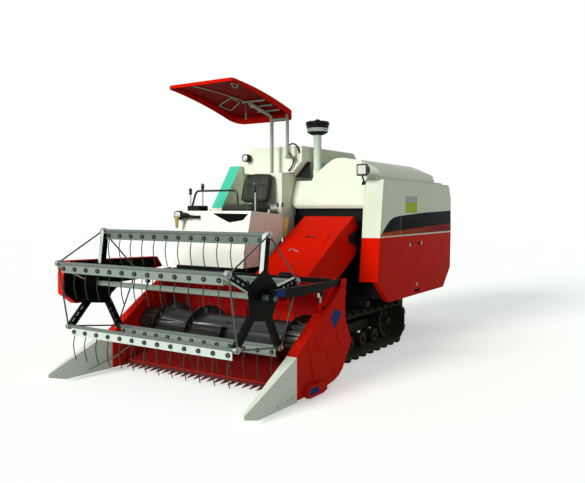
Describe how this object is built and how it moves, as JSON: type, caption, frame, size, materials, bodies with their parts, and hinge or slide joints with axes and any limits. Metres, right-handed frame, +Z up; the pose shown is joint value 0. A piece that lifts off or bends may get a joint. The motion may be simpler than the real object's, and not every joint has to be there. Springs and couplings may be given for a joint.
{
  "type": "tracked rice combine harvester",
  "caption": "Small harvester on rubber tracks: pickup reel and auger header, inclined feeder, threshing body, open driver's seat under a roof, grain tank",
  "frame": {"origin": "on the ground, at the middle of the machine's length and width", "axes": "+X to the machine's left, +Y to its rear (it drives towards -Y), +Z up"},
  "size_m": [2.26, 4.862, 2.8],
  "materials": {
    "rubber": "moulded black rubber",
    "dark_steel": "satin black-grey paint on steel",
    "red_paint": "gloss red enamel",
    "white_paint": "gloss off-white enamel",
    "divider_paint": "off-white enamel with a green cast",
    "grey_paint": "grey-green paint",
    "black_paint": "gloss black paint",
    "bat_steel": "grey-green paint on steel",
    "guard_steel": "dark red paint on forged steel",
    "bare_steel": "worn bright steel",
    "chrome": "polished hard chrome",
    "cast_iron": "painted casting",
    "seat_vinyl": "dark vinyl with welted seams",
    "black_plastic": "moulded black plastic",
    "white_plastic": "moulded off-white plastic",
    "red_plastic": "gloss red moulding"
  },
  "bodies": {
    "chassis": {"track_left": "rubber", "track_right": "rubber", "undercarriage_left": "dark_steel", "undercarriage_right": "dark_steel", "chassis_frame": "dark_steel", "outriggers_left": "dark_steel", "side_frame_right": "dark_steel", "threshing_body": "dark_steel", "side_cover_upper": "white_paint", "side_cover_lower": "red_paint", "front_cover": "white_paint", "corner_cover": "dark_steel", "straw_hood": "white_paint", "front_cowl": "white_paint", "operator_deck": "dark_steel", "engine_cover": "black_plastic", "seat_cushion": "seat_vinyl", "seat_back": "seat_vinyl", "side_column": "white_paint", "radiator_housing": "white_paint", "canopy_roof": "red_plastic", "canopy_posts": "grey_paint", "grain_tank": "white_plastic", "bag_spouts": "dark_steel", "engine_block": "cast_iron", "precleaner": "black_plastic", "guard_rail": "black_paint", "control_levers": "bare_steel", "lamps": "black_plastic"},
    "header": {"feeder_house": "red_paint", "header_trough": "red_paint", "header_side_left": "red_paint", "header_side_right": "red_paint", "divider_left": "divider_paint", "divider_right": "divider_paint", "cutter_guards": "guard_steel", "knife_drive_box": "red_paint", "reel_ram_barrel_left": "red_paint", "reel_ram_barrel_right": "red_paint"},
    "lift_ram_barrel": {"lift_ram_barrel": "dark_steel"},
    "lift_ram_rod": {"lift_ram_rod": "chrome"},
    "knife": {"knife": "bare_steel"},
    "auger": {"auger": "grey_paint"},
    "reel_frame": {"reel_frame": "dark_steel", "reel_drive_guard": "red_paint"},
    "reel_ram_rod_left": {"reel_ram_rod_left": "chrome"},
    "reel_ram_rod_right": {"reel_ram_rod_right": "chrome"},
    "reel": {"reel": "dark_steel"},
    "reel_ring": {"reel_ring": "grey_paint"},
    "bat_1": {"bat_1": "bat_steel"},
    "bat_2": {"bat_2": "bat_steel"},
    "bat_3": {"bat_3": "bat_steel"},
    "bat_4": {"bat_4": "bat_steel"},
    "bat_5": {"bat_5": "bat_steel"},
    "threshing_hood": {"threshing_hood": "white_paint"},
    "radiator_door": {"radiator_door": "red_paint"},
    "bag_platform": {"bag_platform": "dark_steel"}
  },
  "joints": [
    {"name": "header_lift", "type": "hinge", "parent": "chassis", "child": "header", "pos_m": [0, 0.04, 1.24], "axis": [-1, 0, 0], "range_deg": [0, 18]},
    {"name": "lift_ram_swing", "type": "hinge", "parent": "chassis", "child": "lift_ram_barrel", "pos_m": [0.32, 0.11, 0.64], "axis": [-1, 0, 0], "range_deg": [0, 14.6]},
    {"name": "lift_ram_slide", "type": "slide", "parent": "lift_ram_barrel", "child": "lift_ram_rod", "axis": [0, -1, 0], "range_m": [0, 0.188]},
    {"name": "knife_stroke", "type": "slide", "parent": "header", "child": "knife", "axis": [1, 0, 0], "range_m": [-0.038, 0.038]},
    {"name": "auger_spin", "type": "hinge", "parent": "header", "child": "auger", "pos_m": [0, -1.262, 0.412], "axis": [1, 0, 0], "continuous": true},
    {"name": "reel_lift", "type": "hinge", "parent": "header", "child": "reel_frame", "pos_m": [0, -0.9, 0.905], "axis": [-1, 0, 0], "range_deg": [0, 22]},
    {"name": "reel_ram_left_slide", "type": "slide", "parent": "header", "child": "reel_ram_rod_left", "axis": [0, 0, 1], "range_m": [0, 0.146]},
    {"name": "reel_ram_right_slide", "type": "slide", "parent": "header", "child": "reel_ram_rod_right", "axis": [0, 0, 1], "range_m": [0, 0.146]},
    {"name": "reel_spin", "type": "hinge", "parent": "reel_frame", "child": "reel", "pos_m": [0, -1.97, 0.87], "axis": [1, 0, 0], "continuous": true},
    {"name": "reel_ring_spin", "type": "hinge", "parent": "reel_frame", "child": "reel_ring", "pos_m": [-0.97, -1.924, 0.852], "axis": [1, 0, 0], "continuous": true},
    {"name": "bat_1_swing", "type": "hinge", "parent": "reel", "child": "bat_1", "pos_m": [0, -1.90264, 1.34929], "axis": [1, 0, 0], "continuous": true},
    {"name": "bat_2_swing", "type": "hinge", "parent": "reel", "child": "bat_2", "pos_m": [0, -2.40502, 1.08217], "axis": [1, 0, 0], "continuous": true},
    {"name": "bat_3_swing", "type": "hinge", "parent": "reel", "child": "bat_3", "pos_m": [0, -2.30621, 0.52184], "axis": [1, 0, 0], "continuous": true},
    {"name": "bat_4_swing", "type": "hinge", "parent": "reel", "child": "bat_4", "pos_m": [0, -1.74278, 0.44265], "axis": [1, 0, 0], "continuous": true},
    {"name": "bat_5_swing", "type": "hinge", "parent": "reel", "child": "bat_5", "pos_m": [0, -1.49335, 0.95405], "axis": [1, 0, 0], "continuous": true},
    {"name": "hood_open", "type": "hinge", "parent": "chassis", "child": "threshing_hood", "pos_m": [0.822, 1.2, 1.872], "axis": [0, 1, 0], "range_deg": [0, 75]},
    {"name": "radiator_door_open", "type": "hinge", "parent": "chassis", "child": "radiator_door", "pos_m": [-1.038, 0.135, 1.27], "axis": [0, 0, -1], "range_deg": [0, 100]},
    {"name": "bag_platform_fold", "type": "hinge", "parent": "chassis", "child": "bag_platform", "pos_m": [-1.021, 0.87, 0.648], "axis": [0, -1, 0], "range_deg": [0, 90]}
  ],
  "couplings": [
    {"joint": "lift_ram_swing", "follows": "header_lift", "ratio": 0.79},
    {"joint": "lift_ram_slide", "follows": "header_lift", "m_per_rad": 0.5845},
    {"joint": "reel_ram_left_slide", "follows": "reel_lift", "m_per_rad": 0.3706},
    {"joint": "reel_ram_right_slide", "follows": "reel_lift", "m_per_rad": 0.3706},
    {"joint": "reel_ring_spin", "follows": "reel_spin", "ratio": 1},
    {"joint": "bat_1_swing", "follows": "reel_spin", "ratio": -1},
    {"joint": "bat_2_swing", "follows": "reel_spin", "ratio": -1},
    {"joint": "bat_3_swing", "follows": "reel_spin", "ratio": -1},
    {"joint": "bat_4_swing", "follows": "reel_spin", "ratio": -1},
    {"joint": "bat_5_swing", "follows": "reel_spin", "ratio": -1}
  ]
}
